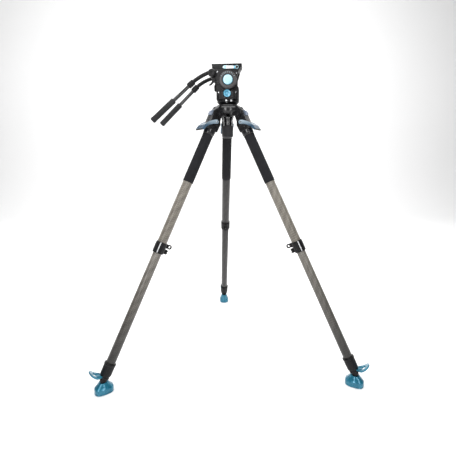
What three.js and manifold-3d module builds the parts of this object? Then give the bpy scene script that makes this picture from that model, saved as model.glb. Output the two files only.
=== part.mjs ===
// Video tripod with a fluid head: three telescopic carbon legs on a bowl crown,
// a levelling half ball, a pan and tilt head and two telescopic pan handles.
// Millimetres, +Z up, floor at z = 0.
import * as THREE from 'three';
import { mergeVertices } from 'three/addons/utils/BufferGeometryUtils.js';
import Module from 'manifold-3d';

const wasm = await Module();
wasm.setup();

// ---------------------------------------------------------------- dimensions
const LEG_AZ = [210, 330, 90];      // plan angle of each leg, degrees
const LEG_NAME = ['left', 'right', 'back'];
const LEG_ANGLE = 26.29;            // leg from vertical, degrees
const R_PIV = 45.5;                 // hinge distance from the tripod axis
const Z_PIV = 852;                  // hinge height
const SHIFT_Y = -117.274;             // puts the footprint's middle on the origin

const UP_R = 15.7, UP_RI = 14.6;    // upper tube
const MID_R = 14.3, MID_RI = 13.0;  // middle tube
const LOW_R = 12.7, LOW_RI = 11.2;  // lower tube
const GRIP_R = 17.4, GRIP_TOP = -76.4, GRIP_BOT = -251;
const UP_TOP = -42, UP_BOT = -488;
const MCOL_TOP = -461.7, MCOL_BOT = -498, MCOL_R = 18.4;
const MID_TOP = -412, MID_BOT = -879;
const LCOL_TOP = -854.4, LCOL_BOT = -893, LCOL_R = 17.4;
const LOW_TOP = -490, LOW_BOT = -887;
const BALL_Z = -908, BALL_R = 10.4; // ankle ball
const SH_R = 20.5, SH_W = 19.8;     // shoulder rounding and half width
const LUG_W = 14, EAR_IN = 14.6, EAR_OUT = 20.4; // hinge lug half width and the ears beside it
const LEVER_Z = -30;                // height lever's own pivot on the leg

const RIM_Z = 884;                  // bowl rim height
const BALL75_R = 32.4;              // levelling half ball
const HEAD_YAW = -7.5;              // head's heading about the pan axis, degrees
const TILT_X = 3, TILT_Z = 962.5;     // tilt axis
const DISC_R = 28.8;                // side disc of the tilt drum
const PLATE_TOP = 1017.6;

const RAD = Math.PI / 180;
const N = 18;                       // facets round everything coaxial with a leg

// ------------------------------------------------------------------- helpers
function clean(g) {
  let b = g.index ? g.clone() : g.clone();
  for (const k of Object.keys(b.attributes)) if (k !== 'position') b.deleteAttribute(k);
  b = mergeVertices(b, 1e-3);
  const idx = b.index.array, out = [];
  for (let i = 0; i < idx.length; i += 3) {
    const [a, c, d] = [idx[i], idx[i + 1], idx[i + 2]];
    if (a !== c && c !== d && d !== a) out.push(a, c, d);
  }
  const p = b.attributes.position.array;
  let v = 0;
  for (let i = 0; i < out.length; i += 3) {
    const [a, c, d] = [3 * out[i], 3 * out[i + 1], 3 * out[i + 2]];
    v += p[a] * (p[c + 1] * p[d + 2] - p[c + 2] * p[d + 1])
       - p[a + 1] * (p[c] * p[d + 2] - p[c + 2] * p[d])
       + p[a + 2] * (p[c] * p[d + 1] - p[c + 1] * p[d]);
  }
  if (v < 0) for (let i = 0; i < out.length; i += 3) [out[i + 1], out[i + 2]] = [out[i + 2], out[i + 1]];
  b.setIndex(out);
  b.clearGroups();
  return b;
}
function solid(g) {
  const b = clean(g);
  return new wasm.Manifold(new wasm.Mesh({
    numProp: 3,
    vertProperties: new Float32Array(b.attributes.position.array),
    triVerts: new Uint32Array(b.index.array),
  }));
}
function shapeOf(m) {
  const r = m.getMesh();
  const g = new THREE.BufferGeometry();
  const v = new Float32Array((r.vertProperties.length / r.numProp) * 3);
  for (let i = 0, j = 0; i < r.vertProperties.length; i += r.numProp, j += 3) {
    v[j] = r.vertProperties[i]; v[j + 1] = r.vertProperties[i + 1]; v[j + 2] = r.vertProperties[i + 2];
  }
  g.setAttribute('position', new THREE.BufferAttribute(v, 3));
  g.setIndex(Array.from(r.triVerts));
  return g;
}
const join = (...gs) => shapeOf(gs.map(solid).reduce((a, b) => a.add(b)));
const cut = (g, ...tools) => shapeOf(tools.map(solid).reduce((a, b) => a.subtract(b), solid(g)));
const common = (a, b) => shapeOf(solid(a).intersect(solid(b)));

// turned body about +Z from [radius, height] points that start and end on the
// axis, or that close on themselves when `ring` is set
function turned(pts, seg = 24, ring = false) {
  const v = pts.map(([r, z]) => new THREE.Vector2(r, z));
  if (ring) v.push(v[0].clone());
  return clean(new THREE.LatheGeometry(v, seg).rotateX(Math.PI / 2));
}
const tube = (ro, ri, z0, z1, seg = 24) => turned([[ri, z0], [ro, z0], [ro, z1], [ri, z1]], seg, true);
const rod = (r, z0, z1, seg = 20) => turned([[0, z0], [r, z0], [r, z1], [0, z1]], seg);
const rodB = (r, z0, z1, b, seg = 20) =>
  turned([[0, z0], [r - b, z0], [r, z0 + b], [r, z1 - b], [r - b, z1], [0, z1]], seg);
const along = (g, ax) => { // turn a body made about +Z to lie about another axis
  if (ax === 'x') g.rotateY(Math.PI / 2);
  if (ax === 'y') g.rotateX(-Math.PI / 2);
  return g;
};
const box = (x0, x1, y0, y1, z0, z1) =>
  new THREE.BoxGeometry(x1 - x0, y1 - y0, z1 - z0).translate((x0 + x1) / 2, (y0 + y1) / 2, (z0 + z1) / 2);
// prism of an outline in the XZ plane, from y0 to y1
function prismY(pts, y0, y1) {
  const s = new THREE.Shape(pts.map(([x, z]) => new THREE.Vector2(x, z)));
  return clean(new THREE.ExtrudeGeometry(s, { depth: y1 - y0, bevelEnabled: false })
    .rotateX(Math.PI / 2).translate(0, y1, 0));
}
// prism of an outline in the XY plane, from z0 to z1
function prismZ(pts, z0, z1, holes = []) {
  const s = new THREE.Shape(pts.map(([x, y]) => new THREE.Vector2(x, y)));
  for (const h of holes) s.holes.push(new THREE.Path(h.map(([x, y]) => new THREE.Vector2(x, y))));
  return clean(new THREE.ExtrudeGeometry(s, { depth: z1 - z0, bevelEnabled: false }).translate(0, 0, z0));
}
const arc = (cx, cy, r, a0, a1, n) => Array.from({ length: n + 1 }, (_, i) => {
  const a = (a0 + (a1 - a0) * i / n) * RAD;
  return [cx + r * Math.cos(a), cy + r * Math.sin(a)];
});
// rounded rectangle outline
const rrect = (x0, x1, y0, y1, r, n = 3) => [
  ...arc(x1 - r, y1 - r, r, 0, 90, n), ...arc(x0 + r, y1 - r, r, 90, 180, n),
  ...arc(x0 + r, y0 + r, r, 180, 270, n), ...arc(x1 - r, y0 + r, r, 270, 360, n)];
// outline of a band of half width w around a polyline
function band(pts, w) {
  const L = [], R = [];
  pts.forEach(([x, y], i) => {
    const [ax, ay] = pts[Math.max(0, i - 1)], [bx, by] = pts[Math.min(pts.length - 1, i + 1)];
    const l = Math.hypot(bx - ax, by - ay), nx = -(by - ay) / l, ny = (bx - ax) / l;
    L.push([x + nx * w, y + ny * w]); R.push([x - nx * w, y - ny * w]);
  });
  return [...L, ...R.reverse()];
}

const root = new THREE.Group();
const COL = {
  cast: [0x17181a, 0.42, 0.5], black: [0x101113, 0.5, 0.1], rubber: [0x2b2c2e, 0.9, 0],
  foam: [0x26272a, 0.95, 0], carbon: [0x4b4844, 0.35, 0.1], steel: [0xb4b8bc, 0.3, 0.9],
  blue: [0x2f8fb4, 0.3, 0.7], steelblue: [0x7ea3c2, 0.28, 0.8], grey: [0x3a3a3c, 0.5, 0.4],
  pale: [0xcfe9f2, 0.25, 0.2], sky: [0x62b6d8, 0.3, 0.4],
};
function put(parent, name, geo, col) {
  const [c, r, m] = COL[col];
  const mesh = new THREE.Mesh(geo, new THREE.MeshStandardMaterial({ color: c, roughness: r, metalness: m }));
  mesh.name = name;
  parent.add(mesh);
  return mesh;
}

const stand = new THREE.Group();
stand.position.y = SHIFT_Y;
root.add(stand);

// --------------------------------------------------------------------- crown
{
  let g = turned([[0, 853], [36, 853], [44, 857], [47, 862], [47, 872], [44, 878], [39, 882], [37, RIM_Z], [0, RIM_Z]], 24);
  const ears = [], slots = [];
  for (const az of LEG_AZ) {
    const ear = prismY([[20, 854], [30, 846], ...arc(R_PIV, Z_PIV, 10.5, 215, 395, 6), [50, 874], [44, 880], [20, 880]], -EAR_OUT, EAR_OUT);
    ears.push(ear.rotateZ(az * RAD));
    const slot = join(
      along(rod(SH_R + 0.6, -EAR_IN, EAR_IN, 20), 'y').translate(R_PIV, 0, Z_PIV),
      box(R_PIV, 80, -EAR_IN, EAR_IN, 820, 900),
      box(R_PIV - SH_R - 0.6, 80, -EAR_IN, EAR_IN, 820, Z_PIV));
    slots.push(slot.rotateZ(az * RAD));
    slots.push(along(rod(4.3, -30, 30, 12), 'y').translate(R_PIV, 0, Z_PIV).rotateZ(az * RAD));
  }
  g = join(g, ...ears);
  g = cut(g, ...slots);
  const bowl = turned([[0, RIM_Z - 33], ...arc(0, RIM_Z, 33, -90, 0, 7).slice(1), [33, RIM_Z + 5], [0, RIM_Z + 5]], 24);
  g = cut(g, bowl, rod(19.5, 840, 870, 16));
  put(stand, 'crown_bowl', g, 'cast');
}

// ---------------------------------------------------------------------- legs
LEG_AZ.forEach((az, i) => {
  const n = LEG_NAME[i];
  const spin = new THREE.Group();
  spin.rotation.z = az * RAD;
  stand.add(spin);
  const leg = new THREE.Group();       // origin on the hinge, -Z down the leg, +X outwards
  leg.position.set(R_PIV, 0, Z_PIV);
  leg.rotation.y = -LEG_ANGLE * RAD;
  spin.add(leg);

  // hinge pin, from ear to ear
  put(leg, `hinge_pin_${n}`, along(turned([[0, -22.2], [3.4, -22.2], [4, -21.4], [4, 21.4], [3.4, 22.2], [0, 22.2]], 12), 'y'), 'steel');

  // shoulder casting: rounded fork head above, tube socket below
  {
    const lug = prismY([...arc(0, 0, SH_R, 0, 100, 6), [-9.5, 15], [-13, 9], [-14.5, 2], [-14.8, -6], [-16, -16], [-16, -40], [16, -40], [19.5, -30]], -LUG_W, LUG_W);
    const body = prismY([[20.4, -8], [12, -12.5], [0, -14.8], [-9, -14.6], [-13.5, -20], [-19.5, -32], [-18, -58], [18, -58], [19.5, -30]], -SH_W, SH_W);
    let g = join(lug, body, turned([[0, -36], [18.6, -36], [19.6, -42], [19.4, -70], [18.6, -76], [0, -76]], N));
    g = cut(g, along(rod(4.3, -30, 30, 12), 'y'),
      rod(16, -90, -41.7, N),
      along(rod(3.4, -30, -14.5, 12), 'y').translate(0, 0, LEVER_Z),
      along(rod(3.4, 14.5, 30, 12), 'y').translate(0, 0, LEVER_Z),
      along(rod(4.4, 7, 30, 12), 'x').translate(0, 0, -6),
      box(17.4, 30, -10, 10, -15, 5));
    put(leg, `leg_shoulder_${n}`, g, 'cast');
  }
  // angle lock: pull tab with its stem
  {
    const tab = prismY([[17.8, -14.4], [23, -14.4], [26.5, -10], [25.5, 0], [21.5, 4.4], [17.8, 4.4]], -9.4, 9.4);
    put(leg, `angle_tab_${n}`, join(tab, along(rod(4, 8, 19, 12), 'x').translate(0, 0, -6)), 'steelblue');
  }
  // one-touch height lever: two arms on short trunnions, joined by the paddle
  {
    const arm = (y0, y1) => prismY([...arc(0, LEVER_Z, 6.5, 80, 260, 6), [8, -41], [19, -51], [27, -62], [33, -77], [38.5, -75.5],
      [35, -60], [28, -46], [17, -33.5], [8, -26]], y0, y1);
    const paddle = prismY([[24.4, -57.6], [27, -62], [33, -77], [38.5, -75.5], [35, -60], [29.6, -49.2]], -22, 22);
    const g = join(arm(-23.3, -20.3), arm(20.3, 23.3), paddle,
      along(rod(3, -21, -15, 12), 'y').translate(0, 0, LEVER_Z),
      along(rod(3, 15, 21, 12), 'y').translate(0, 0, LEVER_Z));
    put(leg, `height_lever_${n}`, g, 'steelblue');
  }
  put(leg, `upper_tube_${n}`, tube(UP_R, UP_RI, UP_BOT, UP_TOP, N), 'carbon');
  put(leg, `leg_grip_${n}`, turned([[16, GRIP_BOT], [GRIP_R - 0.8, GRIP_BOT], [GRIP_R, GRIP_BOT + 1.5],
    [GRIP_R, GRIP_TOP - 1.5], [GRIP_R - 0.8, GRIP_TOP], [16, GRIP_TOP]], N, true), 'foam');

  // mid collar: clamp body with a spreader eye and a hook block on the inner side
  {
    let g = turned([[14.6, MCOL_BOT], [17.2, MCOL_BOT], [MCOL_R, MCOL_BOT + 2], [MCOL_R, MCOL_TOP - 2], [17.4, MCOL_TOP],
      [16, MCOL_TOP], [16, UP_BOT - 0.4], [14.6, UP_BOT - 0.4]], N, true);
    const eye = prismY([[-17, -462.6], [-24, -462.2], ...arc(-31, -469, 7.6, 50, 310, 8), [-24, -476], [-17, -478]], -2, 2);
    const hook = prismY([[-17, -479.5], [-26, -479.5], [-28.6, -482], [-28.6, -492], [-26, -494.5], [-17, -494.5]], -8, 8);
    g = join(g, eye, hook);
    g = cut(g, along(rod(4.6, -6, 6, 12), 'y').translate(-31, 0, -469));
    put(leg, `mid_collar_${n}`, g, 'black');
  }
  put(leg, `middle_tube_${n}`, tube(MID_R, MID_RI, MID_BOT, MID_TOP, N), 'carbon');
  put(leg, `lower_collar_${n}`, turned([[13, LCOL_BOT], [15.4, LCOL_BOT], [16.8, LCOL_BOT + 4], [LCOL_R, LCOL_TOP - 6],
    [LCOL_R + 0.9, LCOL_TOP - 5], [LCOL_R + 0.9, LCOL_TOP - 1], [LCOL_R, LCOL_TOP], [14.6, LCOL_TOP], [14.6, MID_BOT - 0.4], [13, MID_BOT - 0.4]], N, true), 'black');
  // lowest section: tube, end plug and ankle ball in one
  put(leg, `lower_tube_${n}`, turned([[0, BALL_Z - BALL_R], ...arc(0, BALL_Z, BALL_R, -90, 50, 6).slice(1), [7.9, BALL_Z + 9], [7.9, -893.6],
    [LOW_R, -893.2], [LOW_R, LOW_TOP], [LOW_RI, LOW_TOP], [LOW_RI, LOW_BOT], [0, LOW_BOT]], N), 'carbon');
  // step pedal on the ankle neck
  {
    const ring = rod(13.5, -899, -894, N);
    const strip = prismY(band([[6, -896.5], [14, -897.6], [24, -899.2], [34, -897.8], [44, -894.8], [53.5, -891]], 2.4), -18, 18);
    const half = [[4, -8.5], [12, -10], [18, -15], [25, -17.4], [37, -17.6], [46, -14.5], [51.5, -8]];
    const plan = prismZ([...half, [53.2, 0], ...half.map(([x, y]) => [x, -y]).reverse()], -912, -880);
    const g = cut(join(ring, common(strip, plan)), rod(8.3, -907, -887, N),
      turned([[0, -912], [9.8, -912], [9.8, -880], [0, -880]], 14).scale(0.9, 1.04, 1).translate(33, 0, 0));
    put(leg, `foot_pedal_${n}`, g, 'blue');
  }
  // ground pad, level with the floor, on the ankle ball
  {
    const pad = new THREE.Group();
    pad.position.set(0, 0, BALL_Z);
    pad.rotation.y = LEG_ANGLE * RAD;
    leg.add(pad);
    const zc = Z_PIV + BALL_Z * Math.cos(LEG_ANGLE * RAD); // ball centre height
    const p = prismZ(rrect(-29, 27, -21, 21, 16, 4), -zc, -zc + 12);
    const chamfer = turned([[0, -zc - 1], [30, -zc - 1], [31, -zc + 1.5], [31, -zc + 9], [28.6, -zc + 12.5], [0, -zc + 12.5]], 20)
      .scale(1.02, 0.8, 1).translate(-1, 0, 0);
    const block = turned([[0, -zc + 6], [26, -zc + 6], [27, -zc + 11], [20, -13], [14, -4.8], [0, -4.8]], 18)
      .scale(1, 0.8, 1).translate(-0.6, 0, 0);
    const g = cut(join(common(p, chamfer), block),
      turned([[0, -10.9], ...arc(0, 0, 10.9, -90, -10, 5).slice(1), [11.4, 4], [0, 4]], 16));
    put(pad, `foot_pad_${n}`, g, 'blue');
  }
});

// ------------------------------------------------- levelling ball and its clamp
// half ball with its flat top, and the stem below
put(stand, 'level_ball', turned([[0, RIM_Z - BALL75_R], ...arc(0, RIM_Z, BALL75_R, -90, 0, 6).slice(1),
  [BALL75_R, RIM_Z + 0.6], [0, RIM_Z + 0.6]], 24), 'cast');
put(stand, 'clamp_stem', turned([[0, 786], [5, 786], [5, 851.2], [0, 851.2]], 12), 'steel');
// tie-down handle: cup that presses up under the bowl, glossy hub, rubber grip
{
  const g = cut(turned([[0, 778], [15.5, 778], [17.8, 780.5], [17.8, 813], [16.6, 816.2], [15.2, 817], [15.2, 836], [17.2, 839], [17.6, 845.2], [16.6, 846.6], [9, 846.6], [9, 850.8], [0, 850.8]], 18),
    rod(5.3, 785.5, 860, 12));
  put(stand, 'clamp_knob', g, 'rubber');
}

// ---------------------------------------------------------------------- head
const head = new THREE.Group();      // +X is the lens side, -Y the side with the dials
head.rotation.z = HEAD_YAW * RAD;
stand.add(head);

put(head, 'pan_base', turned([[0, 885], [27, 885], [29, 886.5], [36.2, 893], [37, 895], [37, 898.6], [36, 899.6], [0, 899.6]], 24), 'black');

// pan housing: block with a rounded top between the tilt cheeks
{
  const prof = [[-35.5, 900], [35.5, 900], [37.6, 902.5], [37.6, 941], ...arc(TILT_X, TILT_Z, 30.2, -22, 200, 12), [-37.6, 950], [-37.6, 902.5]];
  let g = prismY(prof, -24, 24);
  const skirt = prismZ(rrect(-37.6, 37.6, -33.5, 33.5, 14, 4), 900, 929);
  g = join(g, skirt);
  g = cut(g,
    along(rod(7.3, -40, 40, 18), 'y').translate(TILT_X, 0, TILT_Z),
    box(-15.2, 15.2, -40, -31, 906.5, 933),             // recess of the drag dial
    along(rod(4.3, 20, 33, 12), 'y').rotateZ(Math.PI).translate(0, 0, 920.2),
    along(rod(5.3, -60, -30, 14), 'x').translate(0, 0, 944));
  put(head, 'pan_housing', g, 'black');
}
// drag dial on the pan housing
put(head, 'pan_drag_dial', join(
  along(rodB(12.3, 31.5, 36.6, 1.2, 18), 'y').rotateZ(Math.PI).translate(0, 0, 920.2),
  along(rod(4, 22, 32, 12), 'y').rotateZ(Math.PI).translate(0, 0, 920.2)), 'sky');
// pan lock knob at the back
put(head, 'pan_lock_knob', join(
  along(turned([[0, -46.5], [10, -46.5], [12.2, -44.5], [12.2, -39], [10.5, -38], [0, -38]], 14), 'x').translate(0, 0, 944),
  along(rod(5, -39, -31, 12), 'x').translate(0, 0, 944)), 'black');
put(head, 'tilt_axle', along(rod(7, -33, 33, 18), 'y').translate(TILT_X, 0, TILT_Z), 'steel');

// tilt yoke: two cheeks outside the housing, joined by the bridge under the plate
{
  const cheek = [...arc(TILT_X, TILT_Z, 28.6, 215, 325, 8), [34, 978], [37, 988], [39.5, 997.5], [-47, 997.5], [-52, 994], [-58, 989], [-58, 977], [-50, 968], [-47, 959], [-34, 956.5], [-22, 946.5]];
  const bridge = prismY([[-47, 993.4], [38, 993.4], [39.5, 996], [41, 1001], [-50, 1001], [-52, 994]], -30.4, 30.4);
  let g = join(prismY(cheek, -34, -24.6), prismY(cheek, 24.6, 34), bridge);
  g = cut(g, along(rod(7.3, -40, 40, 18), 'y').translate(TILT_X, 0, TILT_Z),
    along(rod(5.3, -60, 60, 14), 'y').translate(-50, 0, 984.5));
  put(head, 'tilt_yoke', g, 'grey');
}
// side discs of the tilt drum
{
  const disc = s => {
    const ring = turned([[7.5, 34.4], [27.5, 34.4], [DISC_R, 36], [DISC_R, 42.5], [27.2, 44.6], [18, 44.6], [17.4, 42.4], [7.5, 42.4]], 24, true);
    return along(ring, 'y').rotateZ(s < 0 ? Math.PI : 0).translate(TILT_X, 0, TILT_Z);
  };
  put(head, 'tilt_drag_dial', disc(-1), 'grey');
  put(head, 'balance_dial', disc(1), 'grey');
  put(head, 'dial_badge', along(join(rodB(16.6, 42.8, 45, 0.6, 24), rod(6.9, 33.4, 43.4, 16)), 'y').rotateZ(Math.PI).translate(TILT_X, 0, TILT_Z), 'pale');
}
// tilt lock lever below the handle mount
put(head, 'tilt_lock_lever', join(
  along(rod(5.5, 34.4, 40, 14), 'y').rotateZ(Math.PI).translate(-41, 0, 964),
  prismY([[-44.5, 967.5], [-37.5, 961], [-51, 947], [-58.5, 943.5], [-60.5, 947], [-54, 952.5]], -40, -35.4)), 'black');
// plate clamp on the bridge: bed and two rails
{
  const bed = prismY([[-49, 1001.3], [40.5, 1001.3], [43, 1003], [43, 1006.1], [-51, 1006.1], [-51, 1003]], -30, 30);
  const rail = s => prismZ([[-51, s * 24.6], [43, s * 24.6], [43, s * 30], [-51, s * 30]], 1005.5, 1011.2);
  let g = join(bed, rail(1), rail(-1));
  g = cut(g, box(-16, 12, -40, -27.4, 1001, 1012), along(rod(2.7, -31, -20, 12), 'y').translate(32, 0, 1003.6));
  put(head, 'plate_clamp', g, 'black');
}
// quick-release plate with a slot for the camera screw
{
  const top = prismZ(rrect(-53, 48, -27, 27, 4, 2), 1012, PLATE_TOP);
  const foot = prismZ(rrect(-52, 47, -24.2, 24.2, 2, 2), 1006.4, 1012.5);
  const slot = prismZ(rrect(-22, 26, -4, 4, 3.9, 4), 1000, 1030);
  const slotB = prismZ(rrect(-24, 28, -8.4, 8.4, 8.3, 4), 1000, 1011);
  put(head, 'camera_plate', cut(join(top, foot), slot, slotB), 'black');
}
put(head, 'camera_screw', turned([[0, 1006.7], [7.8, 1006.7], [7.8, 1010.7], [3.1, 1010.7], [3.1, 1017], [0, 1017]], 12).translate(2, 0, 0), 'steel');
// plate lock lever beside the clamp
{
  const arm = prismY([...arc(32, 1003.6, 5.6, -90, 90, 6), [8, 1008.8], [-6, 1009.8], [-13, 1008.1], [-15, 1003.6], [-12.6, 999.8], [-6, 998.6], [8, 999]], -36.6, -31);
  put(head, 'plate_lock_lever', join(arm, along(rod(2.4, 24, 32, 12), 'y').rotateZ(Math.PI).translate(32, 0, 1003.6)), 'steelblue');
}

// ------------------------------------------------------------------- handles
// each: serrated hub and curved arm with its lock collar, sliding tube, foam grip
const HAND = { hub: [-50, 984.5], bend: [[-58, 41.5, 985.5], [-78, 40, 982], [-92, 39, 976.5], [-103, 38.6, 970], [-112, 38.8, 962], [-120.5, 39.5, 950.5]], end: [-248, 57, 831] };
for (const [s, n] of [[-1, 'near'], [1, 'far']]) {
  const P = HAND.bend.map(([x, y, z]) => new THREE.Vector3(x, s * y, z));
  const last = P[P.length - 1];
  const dir = new THREE.Vector3(HAND.end[0], s * HAND.end[1], HAND.end[2]).sub(last).normalize();
  const at = (d, q = last) => q.clone().addScaledVector(dir, d);
  // body of revolution about the handle's straight axis
  const onAxis = (g, d) => {
    const m = new THREE.Matrix4().makeRotationFromQuaternion(new THREE.Quaternion().setFromUnitVectors(new THREE.Vector3(0, 0, 1), dir));
    return g.applyMatrix4(m).translate(...at(d).toArray());
  };
  const ring = Array.from({ length: 10 }, (_, k) => new THREE.Vector2(6.6 * Math.cos(k * Math.PI / 5), 6.6 * Math.sin(k * Math.PI / 5)));
  const path = new THREE.CatmullRomCurve3([new THREE.Vector3(-50, s * 41.2, 984), ...P, at(8)]);
  const arm = clean(new THREE.ExtrudeGeometry(new THREE.Shape(ring), { steps: 10, extrudePath: path, bevelEnabled: false }));
  const hub = along(turned([[0, 34.5], [12.5, 34.5], [13, 36], [13, 46], [11, 48.4], [0, 48.4]], 16), 'y').rotateZ(s < 0 ? Math.PI : 0).translate(-50, 0, 984.5);
  const collar = onAxis(turned([[0, -4], [8.4, -4], [9.8, -2], [9.8, 19], [8.6, 21], [0, 21]], 14), 0);
  const bolt = along(rod(5, 26, 36, 12), 'y').rotateZ(s < 0 ? Math.PI : 0).translate(-50, 0, 984.5);
  let g = join(arm, hub, collar, bolt);
  g = cut(g, onAxis(rod(6.5, 0, 30, 12), 0));
  put(head, `handle_arm_${n}`, g, 'black');
  put(head, `handle_tube_${n}`, onAxis(tube(6.2, 4.8, 0.2, 176, 12), 0), 'black');
  put(head, `handle_grip_${n}`, onAxis(turned([[6.5, 88], [8.6, 88], [9.3, 90], [9.4, 120], [9.4, 168], [9.2, 176], [7.8, 178.6], [0, 178.6], [0, 176.4], [6.5, 176.4]], 12, true), 0), 'foam');
}

export default root;
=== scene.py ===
import bpy, bmesh, math
from mathutils import Matrix, Vector


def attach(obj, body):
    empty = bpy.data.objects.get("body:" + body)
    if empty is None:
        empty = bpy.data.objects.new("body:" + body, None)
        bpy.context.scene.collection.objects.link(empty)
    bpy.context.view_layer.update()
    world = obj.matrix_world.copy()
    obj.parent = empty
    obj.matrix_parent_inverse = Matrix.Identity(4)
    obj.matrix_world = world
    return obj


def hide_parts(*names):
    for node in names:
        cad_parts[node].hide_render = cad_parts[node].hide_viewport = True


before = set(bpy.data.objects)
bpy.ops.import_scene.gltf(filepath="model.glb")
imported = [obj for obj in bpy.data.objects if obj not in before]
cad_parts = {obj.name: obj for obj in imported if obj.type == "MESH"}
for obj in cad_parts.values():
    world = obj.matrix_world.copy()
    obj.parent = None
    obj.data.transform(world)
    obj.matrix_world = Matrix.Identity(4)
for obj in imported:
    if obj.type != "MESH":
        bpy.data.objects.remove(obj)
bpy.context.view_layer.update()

# ---------------------------------------------------------------- dimensions
# millimetres, the same as the CAD model
LEGS = {"left": 210.0, "right": 330.0, "back": 90.0}
LEG_ANGLE, R_PIV, Z_PIV = math.radians(26.29), 45.5, 852.0
SHIFT_Y = -117.274
RIM_Z = 884.0
HEAD_YAW = math.radians(-7.5)
TX, TZ = 3.0, 962.5
MM = Matrix.Scale(0.001, 4)
T = Matrix.Translation
STAND = MM @ T((0, SHIFT_Y, 0))
HEAD = STAND @ Matrix.Rotation(HEAD_YAW, 4, "Z")


def leg_m(az):
    return STAND @ Matrix.Rotation(math.radians(az), 4, "Z") @ T((R_PIV, 0, Z_PIV)) @ Matrix.Rotation(-LEG_ANGLE, 4, "Y")


# ------------------------------------------------------------------ geometry
def fil(pts, r, n=4, closed=True):
    """Rounds the corners of an outline; a point may carry its own radius."""
    out = []
    m = len(pts)
    for i, p in enumerate(pts):
        P = Vector(p[:2])
        rr = p[2] if len(p) > 2 else r
        if (not closed and i in (0, m - 1)) or rr <= 0:
            out.append(tuple(P)); continue
        A, B = Vector(pts[i - 1][:2]), Vector(pts[(i + 1) % m][:2])
        da, db = (A - P).length, (B - P).length
        if da < 1e-6 or db < 1e-6:
            out.append(tuple(P)); continue
        ang = (A - P).angle(B - P)
        if ang > math.radians(172):
            out.append(tuple(P)); continue
        d = min(rr / max(math.tan(ang / 2), 0.15), 0.46 * da, 0.46 * db)
        a, b = P + (A - P) / da * d, P + (B - P) / db * d
        for k in range(n + 1):
            t = k / n
            out.append(tuple((1 - t) ** 2 * a + 2 * t * (1 - t) * P + t * t * b))
    return out


def arc(cx, cy, r, a0, a1, n):
    return [(cx + r * math.cos(math.radians(a0 + (a1 - a0) * i / n)), cy + r * math.sin(math.radians(a0 + (a1 - a0) * i / n)), 0) for i in range(n + 1)]


def rrect(x0, x1, y0, y1, r, n=6):
    return fil([(x1, y0), (x1, y1), (x0, y1), (x0, y0)], r, n)


def finish_mesh(me, angle=32):
    bm = bmesh.new(); bm.from_mesh(me)
    bmesh.ops.remove_doubles(bm, verts=bm.verts, dist=1e-4)
    bmesh.ops.dissolve_degenerate(bm, edges=bm.edges, dist=1e-5)
    bmesh.ops.recalc_face_normals(bm, faces=bm.faces)
    bm.to_mesh(me); bm.free()
    me.shade_smooth()
    me.set_sharp_from_angle(angle=math.radians(angle))
    return me


def lathe(pts, seg=64, ring=False, mod=None, uv=None):
    """Turned body about +Z from (radius, height) points; uv is the reference radius of a weave."""
    bm = bmesh.new()
    uvl = bm.loops.layers.uv.new("weave")
    rows = []
    for i, (r, z) in enumerate([p[:2] for p in pts]):
        if r < 1e-5:
            rows.append([bm.verts.new((0, 0, z))] * seg)
        else:
            row = []
            for k in range(seg):
                a = 2 * math.pi * k / seg
                rr = r + (mod(i, a, z, r) if mod else 0)
                row.append(bm.verts.new((rr * math.cos(a), rr * math.sin(a), z)))
            rows.append(row)
    n = len(rows)
    R = uv or 10.0
    for i in range(n if ring else n - 1):
        A, B = rows[i], rows[(i + 1) % n]
        za, zb = pts[i][1], pts[(i + 1) % n][1]
        for k in range(seg):
            k2 = (k + 1) % seg
            q = [(A[k], k, za), (A[k2], k + 1, za), (B[k2], k + 1, zb), (B[k], k, zb)]
            u = []
            for v in q:
                if not any(v[0] is w[0] for w in u):
                    u.append(v)
            if len(u) < 3:
                continue
            f = bm.faces.new([v[0] for v in u])
            for l, v in zip(f.loops, u):
                l[uvl].uv = (2 * math.pi * v[1] / seg * R * 0.001, v[2] * 0.001)
    bmesh.ops.recalc_face_normals(bm, faces=bm.faces)
    me = bpy.data.meshes.new("m"); bm.to_mesh(me); bm.free()
    return me


def prism(pts, a, b, plane="XZ"):
    """Extruded outline; plane XZ runs from y=a to y=b, plane XY from z=a to z=b."""
    bm = bmesh.new()
    bm.loops.layers.uv.new("weave")
    p2 = [p[:2] for p in pts]
    q = []
    for p in p2:
        if not q or (abs(p[0] - q[-1][0]) + abs(p[1] - q[-1][1])) > 1e-4:
            q.append(p)
    if abs(q[0][0] - q[-1][0]) + abs(q[0][1] - q[-1][1]) < 1e-4:
        q.pop()
    at = (lambda x, y, t: (x, t, y)) if plane == "XZ" else (lambda x, y, t: (x, y, t))
    lo = [bm.verts.new(at(x, y, a)) for x, y in q]
    hi = [bm.verts.new(at(x, y, b)) for x, y in q]
    bm.faces.new(lo); bm.faces.new(list(reversed(hi)))
    for i in range(len(q)):
        j = (i + 1) % len(q)
        bm.faces.new([lo[j], lo[i], hi[i], hi[j]])
    bmesh.ops.recalc_face_normals(bm, faces=bm.faces)
    me = bpy.data.meshes.new("m"); bm.to_mesh(me); bm.free()
    return me


def moved(me, *m):
    M = Matrix()
    for x in m:
        M = M @ x
    me = me.copy(); me.transform(M)
    if M.determinant() < 0:
        me.flip_normals()
    return me


AX = Matrix.Rotation(math.pi / 2, 4, "Y")      # +Z to +X
AY = Matrix.Rotation(-math.pi / 2, 4, "X")     # +Z to +Y
AYN = Matrix.Rotation(math.pi / 2, 4, "X")     # +Z to -Y


def tmp(me):
    o = bpy.data.objects.new("tmp", me); bpy.context.scene.collection.objects.link(o); return o


def baked(o):
    bpy.context.view_layer.update()
    dg = bpy.context.evaluated_depsgraph_get()
    me = bpy.data.meshes.new_from_object(o.evaluated_get(dg))
    bpy.data.objects.remove(o)
    return me


def volume(me):
    bm = bmesh.new(); bm.from_mesh(me); v = bm.calc_volume(signed=True); bm.free(); return v


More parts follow.
